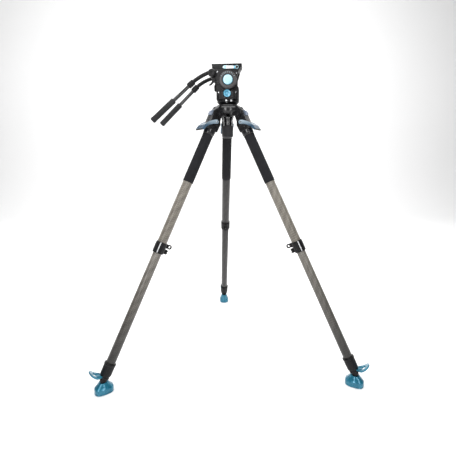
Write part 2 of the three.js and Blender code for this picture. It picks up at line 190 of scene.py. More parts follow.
def sound(r, a, b, op):
    if not len(r.polygons):
        return False
    va, vb, vr = volume(a), volume(b), volume(r)
    if op == "UNION":
        return vr >= max(va, vb) * 0.98 and vr <= (va + vb) * 1.02
    if op == "DIFFERENCE":
        return va - vb * 1.05 <= vr <= va * 1.005 and vr > 0
    return 0 < vr <= min(va, vb) * 1.02


def boolean(a, others, op="DIFFERENCE"):
    for b in others:
        got = None
        for solver in ("MANIFOLD", "EXACT"):
            oa, ob = tmp(a), tmp(b)
            md = oa.modifiers.new("b", "BOOLEAN"); md.object = ob; md.operation = op; md.solver = solver
            r = baked(oa)
            bpy.data.objects.remove(ob)
            if sound(r, a, b, op):
                got = r
                break
        if got is None:
            print("BOOLEAN kept as it was:", op, len(a.polygons), len(b.polygons))
            got = combine(a, b) if op == "UNION" else a
        a = got
    return a


def union(a, *o):
    return boolean(a, o, "UNION")


def cut(a, *o):
    return boolean(a, o, "DIFFERENCE")


def bevel(me, w, n=3, angle=34):
    o = tmp(me)
    md = o.modifiers.new("v", "BEVEL"); md.width = w; md.segments = n; md.limit_method = "ANGLE"
    md.angle_limit = math.radians(angle); md.use_clamp_overlap = True; md.harden_normals = False
    md.miter_outer = "MITER_ARC"
    return baked(o)


def combine(*mes):
    bm = bmesh.new()
    for m in mes:
        bm.from_mesh(m)
    me = bpy.data.meshes.new("m"); bm.to_mesh(me); bm.free()
    return me


def rod(r, a, b, c=0.5, seg=40):
    return lathe([(0, a), (r - c, a), (r - c * 0.3, a + c * 0.3), (r, a + c), (r, b - c), (r - c * 0.3, b - c * 0.3), (r - c, b), (0, b)], seg)


# socket-head cap screw, head up +Z at z = 0 .. h
def screw(r, h, depth=None):
    body = lathe([(0, -2), (r * 0.6, -2), (r * 0.6, 0)] + [(r - 0.3, 0), (r, 0.3), (r, h - 0.5), (r - 0.5, h), (0, h)], 32)
    hexa = prism([(r * 0.56 * math.cos(math.pi / 3 * k), r * 0.56 * math.sin(math.pi / 3 * k)) for k in range(6)], h - (depth or h * 0.7), h + 1, "XY")
    return cut(body, hexa)


# ----------------------------------------------------------------- materials
def nodes_of(name):
    m = bpy.data.materials.new(name); m.use_nodes = True
    nt = m.node_tree
    return m, nt, nt.nodes["Principled BSDF"]


def N(nt, kind, **inp):
    n = nt.nodes.new(kind)
    for k, v in inp.items():
        if k in n.inputs:
            n.inputs[k].default_value = v
    return n


def ramp(nt, fac, stops):
    r = nt.nodes.new("ShaderNodeValToRGB")
    el = r.color_ramp.elements
    while len(el) < len(stops):
        el.new(0.5)
    for e, (p, c) in zip(el, stops):
        e.position = p; e.color = (*c, 1) if len(c) == 3 else c
    nt.links.new(fac, r.inputs[0])
    return r.outputs[0]


def surface(name, base, dark, light, rough, rvar, metal=0.0, scale=900.0, bump=0.08, dist=0.0002, coat=0.0, coat_r=0.2, blotch=22.0, stretch=None, spec=0.5):
    """Painted, moulded or anodised surface: soft blotches, fine grain, roughness variation, grain bump."""
    m, nt, b = nodes_of(name)
    L = nt.links.new
    tc = nt.nodes.new("ShaderNodeTexCoord")
    src = tc.outputs["Object"]
    if stretch:
        mp = nt.nodes.new("ShaderNodeMapping"); mp.inputs["Scale"].default_value = stretch
        L(src, mp.inputs[0]); src2 = mp.outputs[0]
    else:
        src2 = src
    big = N(nt, "ShaderNodeTexNoise", Scale=blotch, Detail=4.0, Roughness=0.6); L(src, big.inputs["Vector"])
    fine = N(nt, "ShaderNodeTexNoise", Scale=scale, Detail=3.0, Roughness=0.65); L(src2, fine.inputs["Vector"])
    mix = nt.nodes.new("ShaderNodeMix"); mix.data_type = "FLOAT"; mix.inputs[0].default_value = 0.45
    L(big.outputs["Fac"], mix.inputs[2]); L(fine.outputs["Fac"], mix.inputs[3])
    col = ramp(nt, mix.outputs[0], [(0.3, dark), (0.5, base), (0.72, light)])
    L(col, b.inputs["Base Color"])
    mr = nt.nodes.new("ShaderNodeMapRange")
    mr.inputs["From Min"].default_value = 0.3; mr.inputs["From Max"].default_value = 0.7
    mr.inputs["To Min"].default_value = rough - rvar; mr.inputs["To Max"].default_value = rough + rvar
    L(mix.outputs[0], mr.inputs["Value"]); L(mr.outputs[0], b.inputs["Roughness"])
    bp = nt.nodes.new("ShaderNodeBump"); bp.inputs["Strength"].default_value = bump; bp.inputs["Distance"].default_value = dist
    L(fine.outputs["Fac"], bp.inputs["Height"]); L(bp.outputs[0], b.inputs["Normal"])
    b.inputs["Metallic"].default_value = metal
    b.inputs["Coat Weight"].default_value = coat
    b.inputs["Coat Roughness"].default_value = coat_r
    b.inputs["Specular IOR Level"].default_value = spec
    return m


def paint_light_by_height(m, z0, z1, low, high):
    """Paints light and shade by height on its piece: low colour (painted shade) under z0, high colour (painted
    highlight) over z1.
    """
    nt = m.node_tree; b = nt.nodes["Principled BSDF"]
    src = b.inputs["Base Color"].links[0].from_socket
    tc = nt.nodes.new("ShaderNodeTexCoord"); sp = nt.nodes.new("ShaderNodeSeparateXYZ"); nt.links.new(tc.outputs["Object"], sp.inputs[0])
    mr = nt.nodes.new("ShaderNodeMapRange"); mr.inputs["From Min"].default_value = z0; mr.inputs["From Max"].default_value = z1
    nt.links.new(sp.outputs["Z"], mr.inputs["Value"])
    mx = nt.nodes.new("ShaderNodeMix"); mx.data_type = "RGBA"; mx.blend_type = "MULTIPLY"; mx.inputs[0].default_value = 1.0
    nt.links.new(src, mx.inputs[6]); nt.links.new(ramp(nt, mr.outputs[0], [(0.0, low), (1.0, high)]), mx.inputs[7])
    nt.links.new(mx.outputs[2], b.inputs["Base Color"])
    return m


def carbon(name, dark, light, v0, v1, low, rough=0.36, k=1.0, coat=0.25):
    """Diagonal tow weave wound round the tube, under a satin clear coat; the warm-grey light tows and the long diagonal
    bands are partly weave pattern, partly painted sheen, and the low end is darkened as painted shade.
    """
    m, nt, b = nodes_of(name)
    L = nt.links.new
    uv = nt.nodes.new("ShaderNodeUVMap"); uv.uv_map = "weave"
    mp = nt.nodes.new("ShaderNodeMapping"); L(uv.outputs[0], mp.inputs[0])
    mp.inputs["Rotation"].default_value = (0, 0, math.radians(38))
    mp.inputs["Scale"].default_value = (k, k, k)
    w1 = N(nt, "ShaderNodeTexWave", Scale=62.0, Distortion=0.25, Detail=1.0); w1.wave_type = "BANDS"; w1.bands_direction = "X"
    w1.inputs["Detail Scale"].default_value = 4.0
    L(mp.outputs[0], w1.inputs["Vector"])
    w2 = N(nt, "ShaderNodeTexWave", Scale=62.0, Distortion=0.25, Detail=1.0); w2.wave_type = "BANDS"; w2.bands_direction = "Y"
    w2.inputs["Detail Scale"].default_value = 4.0
    L(mp.outputs[0], w2.inputs["Vector"])
    ck = nt.nodes.new("ShaderNodeTexChecker"); ck.inputs["Scale"].default_value = 210.0 * k
    L(mp.outputs[0], ck.inputs["Vector"])
    fib = N(nt, "ShaderNodeTexNoise", Scale=9.0, Detail=3.0, Roughness=0.6)
    mp2 = nt.nodes.new("ShaderNodeMapping"); mp2.inputs["Scale"].default_value = (26, 420, 1)
    L(mp.outputs[0], mp2.inputs[0]); L(mp2.outputs[0], fib.inputs["Vector"])
    # the long stretched bands here and the broad waves below are painted sheen over the weave
    sheen_band = N(nt, "ShaderNodeTexNoise", Scale=34.0, Detail=2.0, Roughness=0.5)
    mp3 = nt.nodes.new("ShaderNodeMapping"); mp3.inputs["Scale"].default_value = (1.0, 0.18, 1)
    L(mp.outputs[0], mp3.inputs[0]); L(mp3.outputs[0], sheen_band.inputs["Vector"])

    def mixf(fac, a, c):
        n = nt.nodes.new("ShaderNodeMix"); n.data_type = "FLOAT"
        if isinstance(fac, float):
            n.inputs[0].default_value = fac
        else:
            L(fac, n.inputs[0])
        L(a, n.inputs[2]); L(c, n.inputs[3])
        return n.outputs[0]
    weave = mixf(ck.outputs["Fac"], w1.outputs["Fac"], w2.outputs["Fac"])
    broad_sheen_band = N(nt, "ShaderNodeTexWave", Scale=15.0, Distortion=1.2, Detail=2.0); broad_sheen_band.wave_type = "BANDS"; broad_sheen_band.bands_direction = "X"
    broad_sheen_band.inputs["Detail Scale"].default_value = 3.0
    L(mp.outputs[0], broad_sheen_band.inputs["Vector"])
    v = mixf(0.42, weave, sheen_band.outputs["Fac"])
    v = mixf(0.22, v, fib.outputs["Fac"])
    v = mixf(0.16, v, broad_sheen_band.outputs["Fac"])
    mid = tuple((a + c) / 2 for a, c in zip(dark, light))
    col = ramp(nt, v, [(0.22, dark), (0.5, mid), (0.78, light)])
    sx = nt.nodes.new("ShaderNodeSeparateXYZ"); L(uv.outputs[0], sx.inputs[0])
    low_end_shade = nt.nodes.new("ShaderNodeMapRange")   # painted shade: the tube darker towards its low end than at the top
    for key, val in zip(("From Min", "From Max", "To Min", "To Max"), (v0, v1, low, 1.0)):
        low_end_shade.inputs[key].default_value = val
    L(sx.outputs["Y"], low_end_shade.inputs["Value"])
    tint = nt.nodes.new("ShaderNodeMix"); tint.data_type = "RGBA"; tint.blend_type = "MULTIPLY"; tint.inputs[0].default_value = 1.0
    L(col, tint.inputs[6]); L(low_end_shade.outputs[0], tint.inputs[7])
    L(tint.outputs[2], b.inputs["Base Color"])
    mr = nt.nodes.new("ShaderNodeMapRange")
    mr.inputs["To Min"].default_value = rough + 0.1; mr.inputs["To Max"].default_value = rough - 0.05
    L(v, mr.inputs["Value"]); L(mr.outputs[0], b.inputs["Roughness"])
    bp = nt.nodes.new("ShaderNodeBump"); bp.inputs["Strength"].default_value = 0.12; bp.inputs["Distance"].default_value = 0.0002
    L(weave, bp.inputs["Height"]); L(bp.outputs[0], b.inputs["Normal"])
    b.inputs["Metallic"].default_value = 0.0
    b.inputs["Specular IOR Level"].default_value = 0.35
    b.inputs["Coat Weight"].default_value = coat
    b.inputs["Coat Roughness"].default_value = 0.16
    return m


M = {
    "cast": surface("cast", (0.0055, 0.0055, 0.0065), (0.0030, 0.0030, 0.0035), (0.012, 0.012, 0.014), 0.27, 0.08, 0.0, 1400, 0.10, 0.00012, 0.35, 0.14, spec=0.35),
    "black": surface("black", (0.0048, 0.0048, 0.0056), (0.0026, 0.0026, 0.0030), (0.010, 0.010, 0.011), 0.36, 0.08, 0.0, 1700, 0.16, 0.00012, spec=0.2),
    "gloss": surface("gloss", (0.0045, 0.0045, 0.0055), (0.003, 0.003, 0.003), (0.009, 0.009, 0.010), 0.15, 0.05, 0.0, 700, 0.04, 0.0001, 0.6, 0.06, spec=0.4),
    "rubber": surface("rubber", (0.022, 0.022, 0.024), (0.013, 0.013, 0.014), (0.034, 0.034, 0.036), 0.72, 0.08, 0.0, 1100, 0.3, 0.0002, spec=0.2),
    "foam": surface("foam", (0.030, 0.030, 0.031), (0.015, 0.015, 0.016), (0.050, 0.050, 0.052), 0.88, 0.06, 0.0, 850, 0.55, 0.0003, spec=0.2),
    "legfoam": surface("legfoam", (0.012, 0.012, 0.014), (0.006, 0.006, 0.007), (0.021, 0.021, 0.023), 0.80, 0.08, 0.0, 850, 0.5, 0.0003, spec=0.18),
    "steel": surface("steel", (0.55, 0.56, 0.58), (0.42, 0.43, 0.45), (0.68, 0.69, 0.70), 0.24, 0.08, 1.0, 900, 0.05, 0.0001),
    "bolt": surface("bolt", (0.060, 0.060, 0.065), (0.030, 0.030, 0.034), (0.110, 0.110, 0.115), 0.30, 0.08, 0.9, 900, 0.06, 0.0001),
    "blue": surface("blue", (0.010, 0.150, 0.235), (0.004, 0.080, 0.145), (0.028, 0.250, 0.350), 0.28, 0.08, 0.35, 1200, 0.10, 0.00012, 0.35, 0.12, 30),
    # the height levers' pale top near the pivot is painted highlight and their darker lower part painted shade
    "lever": paint_light_by_height(surface("lever", (0.70, 0.80, 0.86), (0.50, 0.62, 0.70), (0.86, 0.92, 0.95), 0.26, 0.06, 0.25, 1200, 0.06, 0.0001, 0.3, 0.10, 30), 0.813, 0.836, (0.075, 0.130, 0.190), (0.80, 0.86, 0.90)),
    "tab": surface("tab", (0.165, 0.205, 0.280), (0.075, 0.100, 0.150), (0.400, 0.460, 0.560), 0.28, 0.06, 0.35, 1200, 0.06, 0.0001, 0.3, 0.10, 60),
    "satin": surface("satin", (0.52, 0.53, 0.54), (0.40, 0.41, 0.42), (0.62, 0.62, 0.63), 0.38, 0.06, 0.5, 900, 0.05, 0.0001),
    "teal": surface("teal", (0.030, 0.210, 0.340), (0.016, 0.150, 0.260), (0.060, 0.290, 0.430), 0.30, 0.05, 0.1, 1000, 0.05, 0.0001, 0.4, 0.1, 40),
    "sky": surface("sky", (0.085, 0.350, 0.520), (0.040, 0.260, 0.420), (0.170, 0.470, 0.640), 0.28, 0.05, 0.1, 1000, 0.05, 0.0001, 0.4, 0.1, 40),
    "pale": surface("pale", (0.450, 0.680, 0.740), (0.330, 0.600, 0.680), (0.600, 0.780, 0.830), 0.25, 0.05, 0.0, 1000, 0.04, 0.0001, 0.4, 0.1, 40),
    "highlight_white": surface("highlight_white", (0.700, 0.720, 0.740), (0.600, 0.640, 0.670), (0.780, 0.800, 0.810), 0.30, 0.05, 0.0, 1000, 0.04, 0.0001, 0.3, 0.1, 40),
    "grey": surface("grey", (0.0150, 0.0145, 0.0155), (0.0080, 0.0078, 0.0085), (0.026, 0.025, 0.026), 0.38, 0.07, 0.0, 1300, 0.12, 0.00012, 0.0, 0.3, spec=0.2),
    "disc": surface("disc", (0.050, 0.047, 0.048), (0.032, 0.030, 0.031), (0.075, 0.071, 0.071), 0.42, 0.07, 0.1, 1300, 0.12, 0.00012, 0.1, 0.3, spec=0.35),
    # the back leg's darker carbon copy is painted shade; carbon_up and carbon_mid are the lit copies of the same carbon
    "carbon_up": carbon("carbon_up", (0.085, 0.076, 0.063), (0.250, 0.226, 0.190), -0.46, -0.25, 0.85),
    "carbon_back_shaded": carbon("carbon_back_shaded", (0.013, 0.012, 0.012), (0.036, 0.033, 0.032), -0.86, -0.25, 0.8),
    "carbon_mid": carbon("carbon_mid", (0.074, 0.067, 0.058), (0.215, 0.198, 0.174), -0.84, -0.50, 0.10),
    "carbon_low": carbon("carbon_low", (0.012, 0.012, 0.012), (0.060, 0.058, 0.055), -0.88, -0.5, 0.8),
}


def add(name, me, mats, body, *cad, slot=None, angle=32, M4=None):
    if M4 is not None:
        me = moved(me, M4)
    else:
        me = me.copy()
    me.name = name
    finish_small(me, angle)
    o = bpy.data.objects.new(name, me)
    bpy.context.scene.collection.objects.link(o)
    idx = [p.material_index for p in me.polygons]
    me.materials.clear()
    for m in mats:
        me.materials.append(M[m])
    me.polygons.foreach_set("material_index", [min(i, len(mats) - 1) for i in idx])
    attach(o, body)
    if cad:
        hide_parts(*cad)
    return o


def finish_small(me, angle):
    bm = bmesh.new(); bm.from_mesh(me)
    bmesh.ops.remove_doubles(bm, verts=bm.verts, dist=2e-6)
    bmesh.ops.dissolve_degenerate(bm, edges=bm.edges, dist=1e-6)
    bm.to_mesh(me); bm.free()
    me.shade_smooth()
    me.set_sharp_from_angle(angle=math.radians(angle))


def paint(me, test, index):
    """Gives faces whose centre passes the test another material slot."""
    for p in me.polygons:
        if test(p.center):
            p.material_index = index
    return me


# --------------------------------------------------------------------- stand
# crown: hub, three pairs of ears, bowl
hub = lathe(fil([(0, 853), (34, 853), (42, 856), (46.6, 862), (47, 872), (44, 878), (39.4, 881), (38.4, 884), (33.6, 884, 0.6), (0, 884)], 2.0, 3, closed=False), 96)
ear = prism(fil([(18, 856), (28, 848)] + arc(R_PIV, Z_PIV, 10.5, 215, 395, 20) + [(50.5, 873), (44, 880.4), (18, 880.4)], 3), -20.4, 20.4)
slots = []
crown = hub
for az in LEGS.values():
    rz = Matrix.Rotation(math.radians(az), 4, "Z")
    crown = union(crown, moved(ear, rz))
for az in LEGS.values():
    rz = Matrix.Rotation(math.radians(az), 4, "Z")
    cyl = moved(lathe([(0, -14.6), (21.1, -14.6), (21.1, 14.6), (0, 14.6)], 64), rz, T((R_PIV, 0, Z_PIV)), AY)
    blk = moved(prism([(R_PIV, 820), (80, 820), (80, 900), (R_PIV, 900)], -14.6, 14.6), rz)
    low = moved(prism([(24.4, 820), (80, 820), (80, Z_PIV), (24.4, Z_PIV)], -14.6, 14.6), rz)
    crown = cut(crown, cyl, blk, low, moved(rod(4.2, -30, 30, 0.2), rz, T((R_PIV, 0, Z_PIV)), AY))
bowl = lathe([(0, RIM_Z - 33)] + [(33 * math.cos(math.radians(a)), RIM_Z + 33 * math.sin(math.radians(a))) for a in range(-85, 1, 5)] + [(33, RIM_Z + 5), (0, RIM_Z + 5)], 80)
crown = cut(crown, bowl, rod(19.5, 840, 870, 0.1, 60))
crown = bevel(crown, 0.9, 2, 38)
add("crown_casting", crown, ["cast"], "root", "crown_bowl", slot="cast", M4=STAND)

# leg pieces, made once on the leg's own axis
pin = lathe(fil([(0, -22.1), (3.9, -22.1), (3.9, 22.1), (0, 22.1)], 0.5, 3, closed=False), 36)
pin = cut(pin, *[prism([(2.0 * math.cos(math.pi / 3 * k), 2.0 * math.sin(math.pi / 3 * k)) for k in range(6)], a, b, "XY") for a, b in ((20.8, 30), (-30, -20.8))])
pin = moved(pin, AY)

lug = bevel(prism(fil(arc(0, 0, 20.5, 0, 96, 26) + [(-9.5, 15, 5), (-13, 9, 4), (-14.5, 2, 4), (-14.8, -6, 4), (-16, -16), (-16, -44), (16, -44), (19.5, -30)], 2), -14, 14), 2.0, 4, 40)
sh = bevel(prism(fil([(20.4, -8.4, 2.5), (12, -12.6, 4), (0, -14.9, 6), (-9, -14.6, 4), (-13.5, -20, 5), (-19.5, -32, 4), (-18.2, -60), (18.2, -60), (19.6, -30, 5)], 2), -19.8, 19.8), 2.4, 4, 40)
for s in (-1, 1):   # shallow pocket and lever boss on each side face
    y0, y1 = (18.7, 24) if s > 0 else (-24, -18.7)
    sh = cut(sh, bevel(prism(fil([(-8.5, -38), (9.5, -38), (13, -30), (14.4, -52), (-14.2, -52), (-13.5, -42)], 3), y0, y1), 0.7, 2, 50))
    sh = union(sh, moved(rod(7.6, 18.2, 20.2, 0.6), T((0, 0, -30)), AY if s > 0 else AYN))
sh = union(sh, lug)
for s in (-1, 1):
    sh = union(sh, bevel(prism([(-17.6, -53.5), (17.6, -53.5), (17.6, -55.3), (-17.6, -55.3)], s * 19.6 - 0.7, s * 19.6 + 0.7), 0.3, 2, 50))
sock = lathe(fil([(0, -40), (18.0, -40), (19.4, -47), (19.4, -56), (18.7, -56.6), (18.7, -58.8), (19.4, -59.4), (19.4, -71), (18.0, -76), (0, -76)], 0.8, 3, closed=False), 80)
sh = union(sh, sock)
sh = cut(sh, rod(14.6, -100, -57, 0.1, 96), moved(rod(3.2, 14.6, 30, 0.1), T((0, 0, -30)), AY), moved(rod(3.2, 14.6, 30, 0.1), T((0, 0, -30)), AYN), moved(rod(4.4, 7, 30, 0.1), T((0, 0, -6)), AX), prism([(17.3, -15.2), (30, -15.2), (30, 5.2), (17.3, 5.2)], -10.2, 10.2))

tab = prism(fil([(17.8, -14.4), (23.2, -14.4), (26.6, -10), (25.6, 0), (21.5, 4.4), (17.8, 4.4)], 1.6), -9.4, 9.4)
tab = cut(tab, *[moved(rod(0.8, -12, 12, 0.1, 16), T((27.0 - 0.1 * i, 0, -8 + 3.1 * i)), AY) for i in range(3)])
tab = bevel(tab, 0.9, 3, 40)
tab = union(tab, moved(rod(4, 8, 19, 0.2), T((0, 0, -6)), AX))

LZ = -30
arm2 = fil(arc(0, LZ, 6.8, 60, 262, 16) + [(8, -41.5), (18, -50.5), (26.4, -61), (31.5, -76), (35.5, -78.4), (38.6, -76), (35.6, -60), (28.4, -46), (17, -34), (8.2, -26.6)], 2.5)
pad2 = fil([(23.4, -55.6), (26.4, -61), (31.5, -76), (35.5, -78.4), (38.6, -76), (35.6, -60), (29.4, -48)], 1.6)
lev = prism(arm2, -23.3, -20.4)
lev = union(lev, prism(arm2, 20.4, 23.3), prism(pad2, -23.3, 23.3))
lev = bevel(lev, 1.0, 3, 40)
lev = union(lev, moved(rod(3, -21.5, -15, 0.2), T((0, 0, LZ)), AY), moved(rod(3, 15, 21.5, 0.2), T((0, 0, LZ)), AY))
for s in (AY, AYN):
    lev = union(lev, moved(screw(3.6, 1.2, 0.9), T((0, 0, LZ)), s, T((0, 0, 23.1))))
paint(lev, lambda c: c.z < -71.5, 1)
paint(lev, lambda c: abs(c.y) > 23.45, 2)

upper = lathe(fil([(14.6, -488), (15.7, -488), (15.7, -42), (14.6, -42)], 0.3, 2), 96, ring=True, uv=15.7)
middle = lathe(fil([(13.0, -879), (14.3, -879), (14.3, -412), (13.0, -412)], 0.3, 2), 96, ring=True, uv=14.3)
grip = lathe(fil([(15.8, -251.4), (16.9, -251.4, 1.4), (17.4, -246, 2), (17.4, -84, 2), (17.9, -81.5, 1), (17.9, -77.2, 1.2), (15.8, -76.6)], 0.8, 4), 96, ring=True)

# mid collar: ribbed clamp ring, eye and hook block
def scallop(n, depth, z0, z1, base):
    def f(i, a, z, r):
        if z0 < z < z1 and r > base:
            return -depth * max(0.0, math.cos(n * a)) ** 2
        return 0.0
    return f


zz = [-463.5, -465.4, -466.0, -467.4] + [-468 - i * 2.0 for i in range(1, 12)] + [-491.6, -493.2]
mc = [(14.7, -498.2), (17.0, -498.2), (18.0, -497.4), (18.4, -496.0), (18.4, -494.4), (17.8, -493.8)] + [(18.5, z) for z in reversed(zz[3:])] + [(18.4, -466.4), (17.7, -465.6), (17.7, -464.6), (18.3, -464.0), (18.3, -462.8), (17.4, -461.8), (15.9, -461.7), (15.9, -480), (14.7, -480)]
mcol = lathe(mc, 120, ring=True, mod=scallop(10, 0.7, -493.0, -467.0, 18.2))
eye = prism(fil([(-15.5, -461.9), (-24, -461.9)] + arc(-31, -469, 7.6, 50, 310, 24) + [(-24, -476), (-15.5, -478)], 1.5), -2.6, 2.6)
eye = bevel(cut(eye, moved(rod(3.7, -6, 6, 0.1, 40), T((-31, 0, -469)), AY)), 0.7, 3, 50)
hook = prism(fil([(-15.5, -479.5), (-26, -479.5), (-28.6, -482), (-28.6, -492), (-26, -494.5), (-15.5, -494.5)], 1.2), -8, 8)
hook = bevel(cut(hook, prism([(-27, -485), (-40, -485), (-40, -489), (-27, -489)], -12, 12)), 0.8, 3, 40)
mcol = union(mcol, eye, hook)
mcol = union(mcol, moved(screw(2.6, 1.4), T((-22, 0, -487)), AYN, T((0, 0, 7.8))), moved(screw(2.6, 1.4), T((-22, 0, -487)), AY, T((0, 0, 7.8))))

lc = [(13.1, -893), (15.2, -893), (16.0, -892.3), (16.8, -889.0)] + [(16.9 + 0.5 * (i / 12), -888.6 + i * 2.3) for i in range(1, 12)] + [(17.5, -860.6), (18.3, -860.0), (18.3, -855.8), (17.4, -854.6), (14.6, -854.4), (14.6, -879), (13.1, -879.4)]
lcol = lathe(lc, 120, ring=True, mod=scallop(16, 0.7, -888.5, -861.0, 16.5))

low = lathe([(0, -918.4)] + [(10.4 * math.cos(math.radians(a)), -908 + 10.4 * math.sin(math.radians(a))) for a in range(-84, 43, 6)] + [(7.9, -900.4), (7.9, -893.8), (12.0, -893.4), (12.7, -892.6), (12.7, -490.3), (12.4, -490), (11.2, -490), (11.2, -887), (0, -887)], 72, uv=12.7)
paint(low, lambda c: c.z < -891, 1)

# step pedal
def curve_pts(P, n):
    out = []
    for i in range(len(P) - 1):
        p0, p1, p2, p3 = P[max(i - 1, 0)], P[i], P[i + 1], P[min(i + 2, len(P) - 1)]
        for k in range(n):
            t = k / n
            out.append(tuple(0.5 * ((2 * p1[j]) + (-p0[j] + p2[j]) * t + (2 * p0[j] - 5 * p1[j] + 4 * p2[j] - p3[j]) * t * t + (-p0[j] + 3 * p1[j] - 3 * p2[j] + p3[j]) * t ** 3) for j in range(2)))
    out.append(tuple(P[-1]))
    return out


def bandpts(P, w):
    L, R = [], []
    for i, p in enumerate(P):
        a, b = Vector(P[max(0, i - 1)]), Vector(P[min(len(P) - 1, i + 1)])
        d = (b - a).normalized(); n = Vector((-d.y, d.x))
        L.append(tuple(Vector(p) + n * w)); R.append(tuple(Vector(p) - n * w))
    return L + R[::-1]


pc = curve_pts([(6, -896.4), (14, -897.2), (24, -899.2), (34, -897.9), (44, -894.8), (52.2, -891.4)], 6)
strip = prism(bandpts(pc, 2.2), -19, 19)
half = [(4, -8.5), (12, -10.2), (18, -14.6), (25, -17.2), (37, -17.2), (45.8, -14.0), (50.5, -7.6)]
plan = prism(curve_pts(half + [(52.2, 0)] + [(x, -y) for x, y in reversed(half)], 6), -914, -878, "XY")
ped = boolean(strip, [plan], "INTERSECT")
hole = moved(lathe([(0, -914), (7.6, -914), (7.6, -878), (0, -878)], 48), T((32.5, 0, 0)), Matrix.Diagonal((0.95, 1.1, 1, 1)))
ped = bevel(cut(ped, hole), 1.2, 3, 45)
pring = lathe(fil([(8.3, -899), (13.4, -899), (13.4, -894), (8.3, -894)], 0.8, 3), 64, ring=True)
ped = union(cut(ped, rod(8.3, -907, -887, 0.1, 64)), pring)
for s in (-1, 1):   # raised rib along each side of the pedal's neck, grip teeth at the toe
    rib = prism(fil([(9, -896), (17, -893.4), (27, -896), (27, -899.2), (17, -898.6)], 0.8), s * 8.6 - 0.9, s * 8.6 + 0.9)
    ped = union(ped, bevel(rib, 0.4, 2, 50))
for y in (-6, -2, 2, 6):
    ped = union(ped, bevel(prism([(44.6, -893.6), (50.6, -891.2), (50.4, -890.2), (44.4, -892.4)], y - 0.7, y + 0.7), 0.3, 2, 50))
paint(ped, lambda c: math.hypot(c.x, c.y) < 13.6 and c.z > -900, 1)

# ground pad: lofted from a long rounded foot to a round cup
ZC = Z_PIV - 908 * math.cos(LEG_ANGLE)


def loft_pad():
    rows = []
    prof = [  # height, half length, half width, squareness, flute, forward offset
        (0.0, 25.6, 18.2, 2.7, 0, -1), (0.0, 26.5, 19.2, 2.7, 0, -1), (0.7, 27.2, 20.0, 2.7, 0, -1), (2.0, 27.5, 20.4, 2.7, 0, -1),
        (3.0, 26.9, 19.8, 2.7, 0, -1), (3.6, 26.9, 19.8, 2.7, 0, -1), (4.4, 27.6, 20.6, 2.7, 0, -1), (10.2, 27.9, 20.8, 2.7, 0, -1), (15.6, 27.6, 20.4, 2.7, 0, -1),
        (17.6, 26.9, 19.8, 2.6, 0.1, -1), (19.2, 25.4, 18.8, 2.5, 0.3, -1), (21.4, 23.4, 17.6, 2.4, 0.5, -0.8), (24.6, 20.6, 16.4, 2.3, 0.5, -0.6),
        (26.6, 18.8, 15.7, 2.3, 0.4, -0.5), (28.0, 17.2, 15.0, 2.2, 0.3, -0.4), (29.8, 15.6, 14.2, 2.1, 0.1, -0.2), (31.6, 14.6, 13.4, 2.0, 0, 0), (32.6, 13.8, 13.0, 2.0, 0, 0), (33.0, 13.2, 12.6, 2.0, 0, 0), (33.2, 11.8, 11.6, 2, 0, 0)]
    seg = 96
    bm = bmesh.new(); bm.loops.layers.uv.new("weave")
    for z, a, b, n, fl, ox in prof:
        row = []
        for k in range(seg):
            t = 2 * math.pi * k / seg
            c, s = math.cos(t), math.sin(t)
            r = (abs(c / a) ** n + abs(s / b) ** n) ** (-1 / n)
            r -= fl * (0.5 + 0.5 * math.cos(6 * t)) * 1.6
            row.append(bm.verts.new((ox + r * c, r * s, z - ZC)))
        rows.append(row)
    inner = []
    for ang in range(-30, -90, -6):
        inner.append([bm.verts.new((10.9 * math.cos(math.radians(ang)) * math.cos(2 * math.pi * k / seg), 10.9 * math.cos(math.radians(ang)) * math.sin(2 * math.pi * k / seg), 10.9 * math.sin(math.radians(ang)) )) for k in range(seg)])
    rows += inner
    for A, B in zip(rows, rows[1:]):
        for k in range(seg):
            j = (k + 1) % seg
            bm.faces.new([A[k], A[j], B[j], B[k]])
    bm.faces.new(list(reversed(rows[0])))
    bm.faces.new(rows[-1])
    bmesh.ops.recalc_face_normals(bm, faces=bm.faces)
    me = bpy.data.meshes.new("m"); bm.to_mesh(me); bm.free()
    return me


boot = lathe(fil([(8.2, -899.1), (14.4, -899.1), (15.0, -899.7), (14.4, -900.5), (13.2, -900.9), (8.8, -900.9)], 0.3, 2), 64, ring=True)
padm = loft_pad()
PADM = T((0, 0, -908)) @ Matrix.Rotation(LEG_ANGLE, 4, "Y")

# bright satin strips on the mid collar, one each side: painted reflection of a light on the collar's flats
reflection_strip = combine(*[moved(bevel(prism([(17.4, -1.5), (18.9, -1.5), (18.9, 1.5), (17.4, 1.5)], -496.5, -463.2, "XY"), 0.5, 3, 50), Matrix.Rotation(math.radians(a), 4, "Z")) for a in (-57, 57)])

